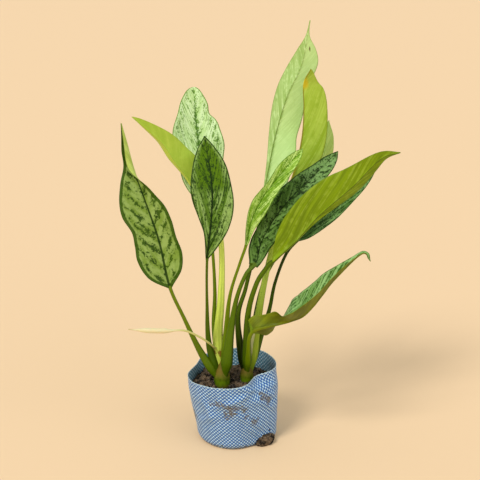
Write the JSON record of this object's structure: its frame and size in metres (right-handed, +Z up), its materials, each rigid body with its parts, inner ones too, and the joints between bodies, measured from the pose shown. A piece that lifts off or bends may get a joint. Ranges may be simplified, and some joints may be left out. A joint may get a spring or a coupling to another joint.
{
  "type": "potted chinese evergreen",
  "caption": "Young chinese evergreen with long silver-marked leaves on slim stalks, growing in soil in a small round woven grow bag.",
  "frame": {"origin": "middle of the grow bag's flat base, on the surface the bag stands on", "axes": "+Z up; -Y is the front, the side with the torn lower corner; +X is to the right seen from the front"},
  "size_m": [0.3367, 0.1631, 0.5361],
  "materials": {
    "woven_plastic": "woven polypropylene tapes, pale blue and white, slightly glossy, stained with soil",
    "soil": "rough dark brown clods",
    "cane": "smooth green cane with brown scars",
    "leaf_silver": "silver green blade with dark green marks along the veins, soft sheen",
    "leaf_dark": "dark green blade with paler streaks, soft sheen",
    "leaf_green": "plain yellow green underside with fine veins, soft sheen",
    "flower": "pale cream spathe, matt"
  },
  "bodies": {
    "root": {"grow_bag": "woven_plastic", "soil": "soil", "left_cane": "cane", "right_cane": "cane", "leaf_far_left": "leaf_silver", "leaf_front_left": "leaf_dark", "leaf_back_left": "leaf_silver", "leaf_upper_left": "leaf_green", "leaf_inner_middle": "leaf_silver", "leaf_dark_middle": "leaf_dark", "leaf_tallest": "leaf_green", "leaf_upper_right": "leaf_green", "leaf_back_right": "leaf_silver", "leaf_front_right": "leaf_green", "leaf_dark_right": "leaf_dark", "leaf_low_right": "leaf_silver", "flower": "flower"}
  },
  "joints": []
}
